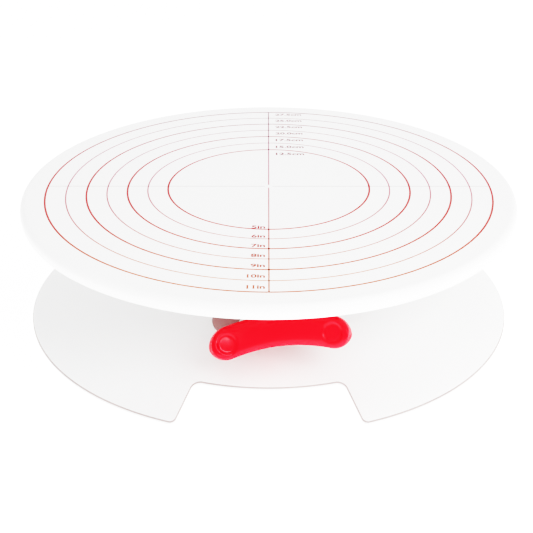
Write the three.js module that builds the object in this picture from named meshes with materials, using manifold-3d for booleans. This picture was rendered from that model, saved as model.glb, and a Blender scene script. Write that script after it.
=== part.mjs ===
// Tilting cake turntable.
//
// A round plate spins on a ball ring.  The ring sits on a head that tips left and right
// about an axle running front to back.  A red rocker at the front works a cam that
// presses a two-armed brake against the head, and so holds the tilt.
//
// Millimetres.  Origin on the floor under the middle of the base, +Z up, -Y to the front.

import * as THREE from 'three';
import { mergeVertices, toCreasedNormals } from 'three/addons/utils/BufferGeometryUtils.js';
import Module from 'manifold-3d';

// ---------------------------------------------------------------- driving dimensions

const overallHeight = 82;
const plateRadius = 155;
const plateRimDepth = 8.5;
const plateRimThickness = 5.5;
const plateSkin = 2.6;
const baseRadius = 154.4;
const baseSkin = 2.4;
const baseLipBottom = 0.8;
const baseLipTop = 3.4;
const coneSlope = 0.32;
const wellRadius = 66;
const wellFloor = 12.5;
const tiltAxisHeight = 40;
const notchHalfAngle = 19.8;
const notchInnerRadius = 125;
const notchInnerRound = 5;
const notchOuterRound = 3.2;
const drumRadius = 22;
const drumHalfLength = 44.7;
const ballCircle = 44;
const ballRadius = 2.4;
const ballCount = 8;
const footCount = 6;
const footCircle = 138;
const footRadius = 7;
const leverHalfLength = 38.8;
const leverEndRadius = 9.2;
const leverThickness = 8;
const leverRestAngle = 7.3;
const leverLean = 27;
const camLobes = 3;
const camLift = 2;
const camRestOffset = 20;

// The clearance left between two pieces that touch, and between a shaft and its bore.
const gap = 0.3;

// How far a cutting solid runs past the face it opens, and a joined solid into its body.
const overlap = 1;

// How many sides the round faces have, from the plate down to the screws.
const plateSides = 72;
const tubSides = 60;
const platformSides = 48;
const ringSides = 40;
const camSides = 36;
const boreSides = 24;
const spindleSides = 20;
const footSides = 16;
const screwSides = 12;
const ballSides = 10;

// ---------------------------------------------------------------- worked-out dimensions

const plateTop = overallHeight;
const plateRimBottom = plateTop - plateRimDepth;
const plateUnderside = plateTop - plateSkin;
const rimSkirtInner = plateRadius - plateRimThickness;

// The thick middle of the plate, which the hub is screwed to.
const padRadius = 53;
const padThickness = 5.1;
const padBottom = plateTop - padThickness;
const ribHeight = 4;
const ribBottom = plateUnderside - ribHeight;

// The bearing stack, from the head's platform up to the hub.
const platformRadius = 50;
const platformRise = 22.5;
const platformThickness = 3.5;
const platformBottom = tiltAxisHeight + platformRise;
const platformTop = platformBottom + platformThickness;
const raceHeight = 2;
const raceHalfWidth = 5.5;
const lowerRaceBottom = platformTop + gap;
const lowerRaceTop = lowerRaceBottom + raceHeight;
const hubThickness = 2.5;
const hubTop = padBottom - gap;
const hubBottom = hubTop - hubThickness;
const upperRaceTop = hubBottom - gap;
const upperRaceBottom = upperRaceTop - raceHeight;
const ballHeight = (lowerRaceTop + upperRaceBottom) / 2;

// The base: a cone that rises from the lip to a flat ring, and a tub hung in the ring.
const ringWidth = 12;
const ringOuter = wellRadius + ringWidth;
const ringTop = baseLipTop + coneSlope * (baseRadius - ringOuter);
const ringUnderside = ringTop - baseSkin;
const tubFlangeWidth = 11;
const tubFlangeRadius = wellRadius + tubFlangeWidth;
const tubTop = ringUnderside - gap;
const tubFloorBottom = wellFloor - baseSkin;
const tubScrewInset = 7;
const tubScrewCircle = wellRadius + tubScrewInset;
const accessHoleRadius = 12;

// The two pedestals inside the tub that carry the tilt axle, and their caps.
const pedestalHalfWidth = 12.5;
const pedestalInner = 47;
const pedestalOuter = 57;
const pedestalMiddle = (pedestalInner + pedestalOuter) / 2;
const capHeight = 11.5;
const capTop = tiltAxisHeight + capHeight;
const capScrewOffset = 9;
const capScrewSeat = capTop - 2;
const pinRadius = 5;
const pinInner = 30;

// Pan-head screws.
const screwHeadRadius = 3;
const screwHeadHeight = 2;
const screwShankRadius = 1.5;
const screwHoleRadius = screwShankRadius + gap;

// The skin left over a blind screw hole, and how far short of its end the screw stops.
const plateHoleRoof = 1.2;
const ringHoleRoof = 0.8;
const plateScrewShort = 0.6;
const ringScrewShort = 0.2;

// The spindle that holds the plate to the head.
const spindleRadius = 4;
const spindleFlangeRadius = 9;
const spindleFlangeHeight = 2;
const nutPocketRadius = 10;
const nutPocketTop = 52;
const spindleEnd = 46.4;
const spindleTip = 1.6;
const washerRadius = 8;
const washerThickness = 1.5;
const washerTop = nutPocketTop - gap;
const nutTop = washerTop - washerThickness - gap;

// The lock, from front to back along the tilt axis.
const leverMiddleX = 6;
const leverMiddleY = -111;
const leverMiddleZ = 42.3;
const leverSweep = 6.4;
const leverDrop = 1.3;
const leverEndCentre = leverHalfLength - leverEndRadius;
const dimpleOutwards = 0.9;
const leverBossRadius = 8;
const leverBossBack = -100.3;
const backPlateFront = -100;
const backPlateBack = -95;
const backPlateHalfWidth = 32.5;
const backPlateEndRadius = 9;
const noseFront = backPlateBack + gap;
const noseBack = -79;
const noseHalfWidth = 20;
const backPlateScrewOffset = 14;
const backPlateScrewLength = 10;
const bushingRadius = 7;
const shaftRadius = 4;
const shaftFront = -106;
const shaftBack = -59;
const camRadius = 11;
const camFront = -77;
const camFace = -72.5;
const yokeBack = -62.5;
const yokeArmInner = 14;
const yokeArmOuter = 20;
const yokePlateHalfHeight = 7;
const yokePlateThickness = 3;
const yokeArmHalfHeight = 5;
const brakePadThickness = 1.5;
const padBack = -(drumHalfLength + gap);
const padFront = padBack - brakePadThickness;
const yokeArmEnd = padFront - gap;

const degrees = Math.PI / 180;

// ---------------------------------------------------------------- solids

const wasm = await Module();
wasm.setup();

// Joins equal points, drops triangles with no area and turns the surface outwards.
function weld(geometry) {
  const bare = geometry.clone();
  bare.deleteAttribute('normal');
  bare.deleteAttribute('uv');
  const merged = mergeVertices(bare, 1e-4);
  const index = merged.index.array;
  const kept = [];
  for (let i = 0; i < index.length; i += 3) {
    const [a, b, c] = [index[i], index[i + 1], index[i + 2]];
    if (a !== b && b !== c && a !== c) {
      kept.push(a, b, c);
    }
  }
  if (signedVolume(merged.attributes.position, kept) < 0) {
    kept.reverse();
  }
  merged.setIndex(kept);
  return merged;
}

function signedVolume(position, index) {
  const [a, b, c] = [new THREE.Vector3(), new THREE.Vector3(), new THREE.Vector3()];
  let sum = 0;
  for (let i = 0; i < index.length; i += 3) {
    a.fromBufferAttribute(position, index[i]);
    b.fromBufferAttribute(position, index[i + 1]);
    c.fromBufferAttribute(position, index[i + 2]);
    sum += a.dot(b.cross(c)) / 6;
  }
  return sum;
}

function toManifold(geometry) {
  const welded = weld(geometry);
  return new wasm.Manifold(new wasm.Mesh({
    numProp: 3,
    vertProperties: new Float32Array(welded.attributes.position.array),
    triVerts: new Uint32Array(welded.index.array),
  }));
}

function toGeometry(manifold) {
  const mesh = manifold.getMesh();
  const geometry = new THREE.BufferGeometry();
  geometry.setAttribute('position', new THREE.BufferAttribute(new Float32Array(mesh.vertProperties), 3));
  geometry.setIndex(new THREE.BufferAttribute(new Uint32Array(mesh.triVerts), 1));
  return geometry;
}

// One solid from a body, the solids joined to it and the solids cut from the result.
function combine(body, { add = [], cut = [] }) {
  let result = toManifold(body);
  for (const piece of add) {
    result = result.add(toManifold(piece));
  }
  for (const piece of cut) {
    result = result.subtract(toManifold(piece));
  }
  return toGeometry(result);
}

function common(first, second) {
  return toGeometry(toManifold(first).intersect(toManifold(second)));
}

// A solid of revolution about Z from [radius, height] points.
function lathe(profile, segments) {
  const points = profile.map(([radius, height]) => new THREE.Vector2(radius, height));
  const geometry = new THREE.LatheGeometry(points, segments);
  geometry.rotateX(Math.PI / 2);
  return geometry;
}

// Points of an arc in the [radius, height] plane; angles in degrees.
function arc(centreR, centreZ, radius, from, to, steps) {
  const points = [];
  for (let i = 0; i <= steps; i += 1) {
    const angle = (from + (to - from) * i / steps) * degrees;
    points.push([centreR + radius * Math.cos(angle), centreZ + radius * Math.sin(angle)]);
  }
  return points;
}

function closed(profile) {
  return [...profile, profile[0]];
}

function box(x0, x1, y0, y1, z0, z1) {
  const geometry = new THREE.BoxGeometry(x1 - x0, y1 - y0, z1 - z0);
  geometry.translate((x0 + x1) / 2, (y0 + y1) / 2, (z0 + z1) / 2);
  return geometry;
}

function cylinderZ(radius, x, y, z0, z1, segments) {
  const geometry = lathe([[0, z0], [radius, z0], [radius, z1], [0, z1]], segments);
  geometry.translate(x, y, 0);
  return geometry;
}

function screwHoleZ(x, y, z0, z1) {
  return cylinderZ(screwHoleRadius, x, y, z0, z1, screwSides);
}

// Turns a solid made about Z so that its axis lies on the tilt axis, height becoming Y.
function ontoTiltAxis(geometry) {
  geometry.rotateX(-Math.PI / 2);
  geometry.translate(0, 0, tiltAxisHeight);
  return geometry;
}

function cylinderY(radius, y0, y1, segments = boreSides) {
  return ontoTiltAxis(lathe([[0, y0], [radius, y0], [radius, y1], [0, y1]], segments));
}

// A flat shape drawn in X and Z, given thickness along Y.
function slabY(shape, y0, y1, curveSegments = 8) {
  const geometry = new THREE.ExtrudeGeometry(shape, { depth: y1 - y0, bevelEnabled: false, curveSegments });
  geometry.rotateX(Math.PI / 2);
  geometry.translate(0, y1, 0);
  return geometry;
}

// A flat shape drawn in X and Y, given thickness along Z.
function slabZ(shape, z0, z1, curveSegments = 8) {
  const geometry = new THREE.ExtrudeGeometry(shape, { depth: z1 - z0, bevelEnabled: false, curveSegments });
  geometry.translate(0, 0, z0);
  return geometry;
}

// The lower and upper Y of a piece at the rear (side 1) or at the front (side -1).
function alongY(side, near, far) {
  return side > 0 ? [near, far] : [-far, -near];
}

// Four places at 45, 135, 225 and 315 degrees round the middle.
function diagonalPlaces(radius) {
  return [45, 135, 225, 315].map((angle) => [
    radius * Math.cos(angle * degrees),
    radius * Math.sin(angle * degrees),
  ]);
}

function circlePath(x, y, radius) {
  const path = new THREE.Path();
  path.absarc(x, y, radius, 0, 2 * Math.PI, true);
  return path;
}

// A long shape with half-round ends, centred on x = 0.
function stadium(halfWidth, endRadius, height) {
  const shape = new THREE.Shape();
  const reach = halfWidth - endRadius;
  shape.absarc(reach, height, endRadius, -Math.PI / 2, Math.PI / 2, false);
  shape.absarc(-reach, height, endRadius, Math.PI / 2, 1.5 * Math.PI, false);
  shape.closePath();
  return shape;
}

// The skin between rings of points, closed by a fan at each end.
function loft(rings) {
  const size = rings[0].length;
  const positions = rings.flat().flatMap((point) => point.toArray());
  const index = [];
  for (let ring = 0; ring + 1 < rings.length; ring += 1) {
    for (let i = 0; i < size; i += 1) {
      const [a, b] = [ring * size + i, ring * size + (i + 1) % size];
      index.push(a, b, b + size, a, b + size, a + size);
    }
  }
  const last = (rings.length - 1) * size;
  for (let i = 1; i + 1 < size; i += 1) {
    index.push(0, i + 1, i, last, last + i, last + i + 1);
  }
  const geometry = new THREE.BufferGeometry();
  geometry.setAttribute('position', new THREE.Float32BufferAttribute(positions, 3));
  geometry.setIndex(index);
  return geometry;
}

// ---------------------------------------------------------------- materials

function whitePlastic() {
  return new THREE.MeshStandardMaterial({ color: 0xf4f4f2, roughness: 0.4, metalness: 0 });
}

function greyPlastic() {
  return new THREE.MeshStandardMaterial({ color: 0xd2cfcd, roughness: 0.5, metalness: 0 });
}

function redPlastic() {
  return new THREE.MeshStandardMaterial({ color: 0xf0142f, roughness: 0.3, metalness: 0 });
}

function blackAcetal() {
  return new THREE.MeshStandardMaterial({ color: 0x2b2c2e, roughness: 0.45, metalness: 0 });
}

function rubber() {
  return new THREE.MeshStandardMaterial({ color: 0x8f9092, roughness: 0.85, metalness: 0 });
}

function steel() {
  return new THREE.MeshStandardMaterial({ color: 0xb9bcc0, roughness: 0.3, metalness: 1 });
}

// ---------------------------------------------------------------- the turning plate

function turntablePlate() {
  const crownRadius = 4.4;
  const footRounding = 1.3;
  const stiffenerRadius = 102;
  const stiffenerWidth = 2;
  const ribHalfWidth = 0.9;
  const pocketRadius = spindleFlangeRadius + gap;
  const pocketTop = padBottom + spindleFlangeHeight + gap;
  const skin = lathe([
    [0, pocketTop],
    [pocketRadius, pocketTop],
    [pocketRadius, padBottom],
    [padRadius, padBottom],
    [padRadius, plateUnderside],
    [stiffenerRadius, plateUnderside],
    [stiffenerRadius, ribBottom],
    [stiffenerRadius + stiffenerWidth, ribBottom],
    [stiffenerRadius + stiffenerWidth, plateUnderside],
    [rimSkirtInner, plateUnderside],
    ...arc(rimSkirtInner + footRounding, plateRimBottom + footRounding, footRounding, 180, 270, 2),
    ...arc(plateRadius - footRounding, plateRimBottom + footRounding, footRounding, -90, 0, 2),
    ...arc(plateRadius - crownRadius, plateTop - crownRadius, crownRadius, 0, 90, 4),
    [0, plateTop],
  ], plateSides);
  const ribs = [];
  const holes = [];
  const ribCount = 12;
  for (let i = 0; i < ribCount; i += 1) {
    const rib = box(
      padRadius - overlap, rimSkirtInner + overlap,
      -ribHalfWidth, ribHalfWidth,
      ribBottom, plateUnderside + overlap,
    );
    rib.rotateZ(2 * Math.PI * (i + 0.5) / ribCount);
    ribs.push(rib);
  }
  for (const [x, y] of hubScrewPlaces()) {
    holes.push(screwHoleZ(x, y, padBottom - overlap, plateTop - plateHoleRoof));
  }
  return combine(skin, { add: ribs, cut: holes });
}

function hubScrewPlaces() {
  return diagonalPlaces(25);
}

function turntableHub() {
  const radius = padRadius - 1;
  const chamfer = 0.5;
  const disc = lathe(closed([
    [spindleRadius + gap, hubBottom],
    [radius - chamfer, hubBottom],
    [radius, hubBottom + chamfer],
    [radius, hubTop],
    [spindleRadius + gap, hubTop],
  ]), ringSides);
  const holes = hubScrewPlaces().map(([x, y]) => screwHoleZ(x, y, hubBottom - overlap, hubTop + overlap));
  return combine(disc, { cut: holes });
}

function centreSpindle() {
  const end = spindleEnd - spindleTip;
  const chamfer = 0.8;
  return lathe([
    [0, end],
    [spindleRadius - chamfer, end],
    [spindleRadius, end + chamfer],
    [spindleRadius, padBottom],
    [spindleFlangeRadius, padBottom],
    [spindleFlangeRadius, padBottom + spindleFlangeHeight],
    [0, padBottom + spindleFlangeHeight],
  ], spindleSides);
}

function spindleWasher() {
  const inner = spindleRadius + gap;
  const bottom = washerTop - washerThickness;
  return lathe(
    closed([[inner, bottom], [washerRadius, bottom], [washerRadius, washerTop], [inner, washerTop]]),
    spindleSides,
  );
}

function spindleNut() {
  const corner = 7;
  const corners = Array.from({ length: 6 }, (_, i) => new THREE.Vector2(
    corner * Math.cos(i * Math.PI / 3),
    corner * Math.sin(i * Math.PI / 3),
  ));
  const shape = new THREE.Shape(corners);
  shape.holes.push(circlePath(0, 0, spindleRadius + gap));
  return slabZ(shape, spindleEnd, nutTop, 10);
}

// ---------------------------------------------------------------- the ball bearing

// A flat ring with a round groove for the balls; `side` is +1 for a groove on top.
function race(bottom, top, side) {
  const grooveRadius = ballRadius + gap;
  const grooved = side > 0 ? top : bottom;
  const plain = side > 0 ? bottom : top;
  const rise = Math.abs(ballHeight - grooved);
  const edge = Math.asin(rise / grooveRadius) / degrees;
  const groove = side > 0
    ? arc(ballCircle, ballHeight, grooveRadius, 180 + edge, 360 - edge, 3)
    : arc(ballCircle, ballHeight, grooveRadius, 180 - edge, edge, 3);
  return lathe(closed([
    [ballCircle - raceHalfWidth, plain],
    [ballCircle - raceHalfWidth, grooved],
    ...groove,
    [ballCircle + raceHalfWidth, grooved],
    [ballCircle + raceHalfWidth, plain],
  ]), ringSides);
}

function ballPlaces() {
  const places = [];
  for (let i = 0; i < ballCount; i += 1) {
    const angle = 2 * Math.PI * i / ballCount;
    places.push([ballCircle * Math.cos(angle), ballCircle * Math.sin(angle)]);
  }
  return places;
}

function ballCage() {
  const halfWidth = 4.6;
  const thickness = 1.5;
  const shape = new THREE.Shape();
  shape.absarc(0, 0, ballCircle + halfWidth, 0, 2 * Math.PI, false);
  shape.holes.push(circlePath(0, 0, ballCircle - halfWidth));
  const ring = slabZ(shape, ballHeight - thickness / 2, ballHeight + thickness / 2, 20);
  const holes = ballPlaces().map(
    ([x, y]) => cylinderZ(ballRadius + gap, x, y, ballHeight - thickness, ballHeight + thickness, ballSides),
  );
  return combine(ring, { cut: holes });
}

function bearingBall([x, y]) {
  const ball = new THREE.SphereGeometry(ballRadius, ballSides, 7);
  ball.translate(x, y, ballHeight);
  return ball;
}

// ---------------------------------------------------------------- the tilting head

function tiltHead() {
  const neckHalfX = 16;
  const neckHalfY = 40;
  const neckBottom = tiltAxisHeight + 10;
  const chamfer = 1;
  const drum = cylinderY(drumRadius, -drumHalfLength, drumHalfLength, ringSides);
  const neck = box(-neckHalfX, neckHalfX, -neckHalfY, neckHalfY, neckBottom, platformBottom + overlap);
  const platform = lathe([
    [0, platformBottom],
    [platformRadius - chamfer, platformBottom],
    [platformRadius, platformBottom + chamfer],
    [platformRadius, platformTop],
    [0, platformTop],
  ], platformSides);
  const pinBores = [1, -1].map((side) => {
    const [y0, y1] = alongY(side, pinInner - overlap, drumHalfLength + overlap);
    return cylinderY(pinRadius + gap, y0, y1);
  });
  const drumBottom = tiltAxisHeight - drumRadius;
  const nutPocket = cylinderZ(nutPocketRadius, 0, 0, drumBottom - overlap, nutPocketTop, boreSides);
  const spindleBore = cylinderZ(
    spindleRadius + gap, 0, 0, nutPocketTop - overlap, platformTop + overlap, spindleSides,
  );
  return combine(drum, { add: [neck, platform], cut: [...pinBores, nutPocket, spindleBore] });
}

function tiltPin(side) {
  const chamfer = 1;
  const inset = 0.5;
  const length = pedestalOuter - inset - pinInner;
  const pin = lathe([
    [0, 0],
    [pinRadius - chamfer, 0],
    [pinRadius, chamfer],
    [pinRadius, length - chamfer],
    [pinRadius - chamfer, length],
    [0, length],
  ], boreSides);
  ontoTiltAxis(pin);
  pin.translate(0, side > 0 ? pinInner : -pinInner - length, 0);
  return pin;
}

// ---------------------------------------------------------------- the base

// Height of the base's outer surface at a distance from its middle.
function coneHeight(radius) {
  return baseLipTop + coneSlope * (baseRadius - radius);
}

// Height of the underside of the base's skin.
function skinUnderside(radius) {
  return coneHeight(radius) - baseSkin * Math.hypot(1, coneSlope);
}

// The gap at the front of the base: radial sides, a round inner edge, rounded corners.
function notchSolid() {
  const half = notchHalfAngle * degrees;
  const front = -Math.PI / 2;
  const beyond = 15;
  const headroom = 5;
  const outer = baseRadius + beyond;
  const innerAngle = notchInnerRound / notchInnerRadius;
  const outerAngle = notchOuterRound / baseRadius;
  const at = (radius, angle) => [radius * Math.cos(angle), radius * Math.sin(angle)];
  const shape = new THREE.Shape();
  shape.moveTo(...at(outer, front + half + outerAngle));
  shape.lineTo(...at(baseRadius, front + half + outerAngle));
  shape.quadraticCurveTo(
    ...at(baseRadius, front + half),
    ...at(baseRadius - notchOuterRound, front + half),
  );
  shape.lineTo(...at(notchInnerRadius + notchInnerRound, front + half));
  shape.quadraticCurveTo(
    ...at(notchInnerRadius, front + half),
    ...at(notchInnerRadius, front + half - innerAngle),
  );
  shape.absarc(0, 0, notchInnerRadius, front + half - innerAngle, front - half + innerAngle, true);
  shape.quadraticCurveTo(
    ...at(notchInnerRadius, front - half),
    ...at(notchInnerRadius + notchInnerRound, front - half),
  );
  shape.lineTo(...at(baseRadius - notchOuterRound, front - half));
  shape.quadraticCurveTo(
    ...at(baseRadius, front - half),
    ...at(baseRadius, front - half - outerAngle),
  );
  shape.lineTo(...at(outer, front - half - outerAngle));
  shape.closePath();
  return slabZ(shape, -overlap, coneHeight(notchInnerRadius) + headroom);
}

// The first foot stands beside the notch, and the others follow round the base.
function footPlaces() {
  const first = -60 * degrees;
  return Array.from({ length: footCount }, (_, i) => {
    const angle = first + 2 * Math.PI * i / footCount;
    return [footCircle * Math.cos(angle), footCircle * Math.sin(angle)];
  });
}

function pedestal(side) {
  const [y0, y1] = alongY(side, pedestalInner, pedestalOuter);
  const bottom = wellFloor - overlap;
  return box(-pedestalHalfWidth, pedestalHalfWidth, y0, y1, bottom, tiltAxisHeight - gap / 2);
}

function capScrewPlaces(side) {
  return [-capScrewOffset, capScrewOffset].map((x) => [x, side * pedestalMiddle]);
}

function tubScrewPlaces() {
  return diagonalPlaces(tubScrewCircle);
}

// The cone with its lip, notch and flat ring, and the nose that carries the rocker.
function baseShell() {
  const ringRounding = 1.2;
  const chamfer = 0.5;
  const lipInner = baseRadius - baseSkin;
  const shell = lathe(closed([
    [ringOuter - chamfer, ringUnderside],
    [lipInner, skinUnderside(lipInner)],
    [lipInner, baseLipBottom],
    [baseRadius - chamfer, baseLipBottom],
    [baseRadius, baseLipBottom + chamfer],
    [baseRadius, baseLipTop - chamfer],
    [baseRadius - chamfer, coneHeight(baseRadius - chamfer)],
    [ringOuter, ringTop],
    ...arc(wellRadius + ringRounding, ringTop - ringRounding, ringRounding, 90, 180, 2),
    [wellRadius, ringUnderside],
  ]), plateSides);

  const legBottom = coneHeight(-noseFront) - baseSkin / 2;
  const nose = slabY(stadium(noseHalfWidth, backPlateEndRadius, tiltAxisHeight), noseFront, noseBack);
  const leg = box(-noseHalfWidth, noseHalfWidth, noseFront, noseBack, legBottom, tiltAxisHeight);

  const bushingBore = cylinderY(bushingRadius + gap, noseFront - overlap, noseBack + overlap);
  const plateScrewHoles = backPlateScrewPlaces().map(([x, z]) => {
    const bottom = noseFront + backPlateScrewLength;
    const hole = cylinderY(screwHoleRadius, noseFront - overlap, bottom, screwSides);
    hole.translate(x, 0, z - tiltAxisHeight);
    return hole;
  });
  const tubScrewHoles = tubScrewPlaces().map(
    ([x, y]) => screwHoleZ(x, y, ringUnderside - overlap, ringTop - ringHoleRoof),
  );
  return combine(shell, {
    add: [nose, leg],
    cut: [notchSolid(), bushingBore, ...plateScrewHoles, ...tubScrewHoles],
  });
}

// The tub under the cone's ring, with the two pedestals moulded on its floor.
function pivotTub() {
  const wallOuter = wellRadius + baseSkin;
  const flangeBottom = tubTop - baseSkin;
  const tub = lathe(closed([
    [accessHoleRadius, wellFloor],
    [accessHoleRadius, tubFloorBottom],
    [wallOuter, tubFloorBottom],
    [wallOuter, flangeBottom],
    [tubFlangeRadius, flangeBottom],
    [tubFlangeRadius, tubTop],
    [wellRadius, tubTop],
    [wellRadius, wellFloor],
  ]), tubSides);
  const pilotDepth = 12;
  const pilotHoles = [1, -1].flatMap(capScrewPlaces).map(
    ([x, y]) => screwHoleZ(x, y, tiltAxisHeight - pilotDepth, tiltAxisHeight + overlap),
  );
  const pinBore = cylinderY(pinRadius + gap, -pedestalOuter - overlap, pedestalOuter + overlap);
  const flangeHoles = tubScrewPlaces().map(
    ([x, y]) => screwHoleZ(x, y, flangeBottom - overlap, tubTop + overlap),
  );
  return combine(tub, {
    add: [pedestal(1), pedestal(-1)],
    cut: [...pilotHoles, pinBore, ...flangeHoles],
  });
}

function axleCap(side) {
  const [y0, y1] = alongY(side, pedestalInner, pedestalOuter);
  const shape = new THREE.Shape();
  const cornerRadius = 4;
  shape.moveTo(-pedestalHalfWidth, tiltAxisHeight + gap / 2);
  shape.lineTo(pedestalHalfWidth, tiltAxisHeight + gap / 2);
  const cornerX = pedestalHalfWidth - cornerRadius;
  const cornerZ = capTop - cornerRadius;
  shape.absarc(cornerX, cornerZ, cornerRadius, 0, Math.PI / 2, false);
  shape.absarc(-cornerX, cornerZ, cornerRadius, Math.PI / 2, Math.PI, false);
  shape.closePath();
  const body = slabY(shape, y0, y1, 4);
  const holes = capScrewPlaces(side).flatMap(([x, y]) => [
    screwHoleZ(x, y, tiltAxisHeight, capTop + overlap),
    cylinderZ(screwHeadRadius + gap, x, y, capScrewSeat, capTop + overlap, screwSides),
  ]);
  const pinBore = cylinderY(pinRadius + gap, y0 - overlap, y1 + overlap);
  return combine(body, { cut: [pinBore, ...holes] });
}

// A rubber post whose sloping top is stuck to the underside of the cone.
function rubberFoot([x, y]) {
  const rounding = 0.5;
  const post = lathe([
    [0, 0],
    [footRadius - rounding, 0],
    [footRadius, rounding],
    [footRadius, ringTop],
    [0, ringTop],
  ], footSides);
  post.translate(x, y, 0);
  const reach = footRadius + 2 * overlap;
  const under = lathe([
    [0, -overlap],
    [footCircle + reach, -overlap],
    [footCircle + reach, skinUnderside(footCircle + reach) - gap],
    [footCircle - reach, skinUnderside(footCircle - reach) - gap],
    [0, skinUnderside(footCircle - reach) - gap],
  ], plateSides);
  return common(post, under);
}

function leverBushing() {
  const inner = shaftRadius + gap;
  return ontoTiltAxis(lathe(closed([
    [inner, noseFront],
    [bushingRadius, noseFront],
    [bushingRadius, noseBack],
    [inner, noseBack],
  ]), boreSides));
}

function backPlateScrewPlaces() {
  return [-backPlateScrewOffset, backPlateScrewOffset].map((x) => [x, tiltAxisHeight]);
}

function rockerBackPlate() {
  const shape = stadium(backPlateHalfWidth, backPlateEndRadius, tiltAxisHeight);
  const boreRadius = shaftRadius + 1;
  shape.holes.push(circlePath(0, tiltAxisHeight, boreRadius));
  for (const [x, z] of backPlateScrewPlaces()) {
    shape.holes.push(circlePath(x, z, screwHoleRadius));
  }
  return slabY(shape, backPlateFront + screwHeadHeight, backPlateBack, 10);
}

// ---------------------------------------------------------------- screws

// A pan-head screw about Z with its head above z = 0.
function screw(length) {
  const pointLength = 1.5;
  const headDrop = 0.6;
  const headInset = 0.9;
  return lathe([
    [0, -length],
    [screwShankRadius / 2, -length],
    [screwShankRadius, -length + pointLength],
    [screwShankRadius, 0],
    [screwHeadRadius, 0],
    [screwHeadRadius, screwHeadHeight - headDrop],
    [screwHeadRadius - headInset, screwHeadHeight],
    [0, screwHeadHeight],
  ], screwSides);
}

function capScrew([x, y]) {
  const length = 20;
  const part = screw(length);
  part.translate(x, y, capScrewSeat + gap);
  return part;
}

function tubScrew([x, y]) {
  const flangeBottom = tubTop - baseSkin;
  const end = ringTop - ringHoleRoof - ringScrewShort;
  const part = screw(end - flangeBottom + gap);
  part.rotateX(Math.PI);
  part.translate(x, y, flangeBottom - gap);
  return part;
}

function hubScrew([x, y]) {
  const end = plateTop - plateHoleRoof - plateScrewShort;
  const part = screw(end - hubBottom);
  part.rotateX(Math.PI);
  part.translate(x, y, hubBottom - gap);
  return part;
}

function backPlateScrew([x, z]) {
  const part = screw(backPlateScrewLength);
  part.rotateX(Math.PI / 2);
  part.translate(x, backPlateFront + screwHeadHeight - gap, z);
  return part;
}

// ---------------------------------------------------------------- the lock

// Middle line of the rocker bar before it is turned to its rest angle.  The wings sweep
// forwards and drop a little away from the middle.
function leverLine(u) {
  const share = (u / leverEndCentre) ** 2;
  return new THREE.Vector3(u, -leverSweep * share, -leverDrop * share);
}

// The directions out of the bar's face and up its face at a place along it.
function leverAxes(u) {
  const slope = -2 * leverSweep * u / leverEndCentre ** 2;
  const across = new THREE.Vector3(slope, -1, 0).normalize();
  const lean = leverLean * degrees;
  const face = across.clone().multiplyScalar(Math.cos(lean)).add(new THREE.Vector3(0, 0, Math.sin(lean)));
  const rise = across.clone().multiplyScalar(-Math.sin(lean)).add(new THREE.Vector3(0, 0, Math.cos(lean)));
  return [face, rise];
}

// One closed section across the bar: a flat oval that shrinks towards the round ends.
function leverRing(u) {
  const leastWidth = 0.2;
  const leastThickness = 0.45;
  const squareness = 0.65;
  const steps = 16;
  const past = Math.max(Math.abs(u) - leverEndCentre, 0);
  const width = Math.sqrt(Math.max(leverEndRadius ** 2 - past ** 2, leastWidth ** 2));
  const fullness = leastThickness + (1 - leastThickness) * Math.sqrt(width / leverEndRadius);
  const thick = (leverThickness / 2) * Math.min(1, fullness);
  const [face, rise] = leverAxes(u);
  const points = [];
  for (let i = 0; i < steps; i += 1) {
    const angle = 2 * Math.PI * (i + 0.5) / steps;
    const power = (value) => Math.sign(value) * Math.abs(value) ** squareness;
    const point = leverLine(u);
    point.addScaledVector(rise, width * power(Math.cos(angle)));
    point.addScaledVector(face, thick * power(Math.sin(angle)));
    points.push(point);
  }
  return points;
}

function lockLever() {
  const rings = [];
  const steps = 30;
  for (let i = 0; i <= steps; i += 1) {
    const share = Math.sin(Math.PI / 2 * (2 * i / steps - 1));
    rings.push(leverRing(share * leverHalfLength));
  }
  const bar = loft(rings);
  const dimples = [-1, 1].map((side) => {
    const radius = 12;
    const depth = 1.6;
    const place = side * (leverEndCentre + dimpleOutwards);
    const [face] = leverAxes(place);
    const centre = leverLine(place).addScaledVector(face, leverThickness / 2 + radius - depth);
    const dimple = new THREE.SphereGeometry(radius, 20, 14);
    dimple.translate(centre.x, centre.y, centre.z);
    return dimple;
  });
  const placed = (geometry) => {
    geometry.rotateY(-leverRestAngle * degrees);
    geometry.translate(leverMiddleX, leverMiddleY, leverMiddleZ);
    return geometry;
  };
  const boss = cylinderY(leverBossRadius, leverMiddleY, leverBossBack);
  const bore = cylinderY(shaftRadius + gap, shaftFront - gap, leverBossBack + overlap);
  const body = placed(combine(bar, { cut: dimples }));
  return combine(body, { add: [boss], cut: [bore] });
}

function leverShaft() {
  const chamfer = 0.6;
  return ontoTiltAxis(lathe([
    [0, shaftFront],
    [shaftRadius - chamfer, shaftFront],
    [shaftRadius, shaftFront + chamfer],
    [shaftRadius, shaftBack - chamfer],
    [shaftRadius - chamfer, shaftBack],
    [0, shaftBack],
  ], boreSides));
}

// A ring about the tilt axis from `flat` to a face that waves along Y.
function wavyRing(inner, flat, face, lift, offset) {
  const near = 0.01;
  const ring = lathe(closed([[inner, flat], [camRadius, flat], [camRadius, face], [inner, face]]), camSides);
  const position = ring.attributes.position;
  for (let i = 0; i < position.count; i += 1) {
    if (Math.abs(position.getZ(i) - face) < near) {
      const angle = Math.atan2(position.getY(i), position.getX(i));
      const wave = Math.cos(camLobes * (angle - offset * degrees));
      position.setZ(i, face + lift * wave);
    }
  }
  return ontoTiltAxis(ring);
}

function lockCam() {
  return wavyRing(shaftRadius + gap, camFront, camFace, camLift, camRestOffset);
}

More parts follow.
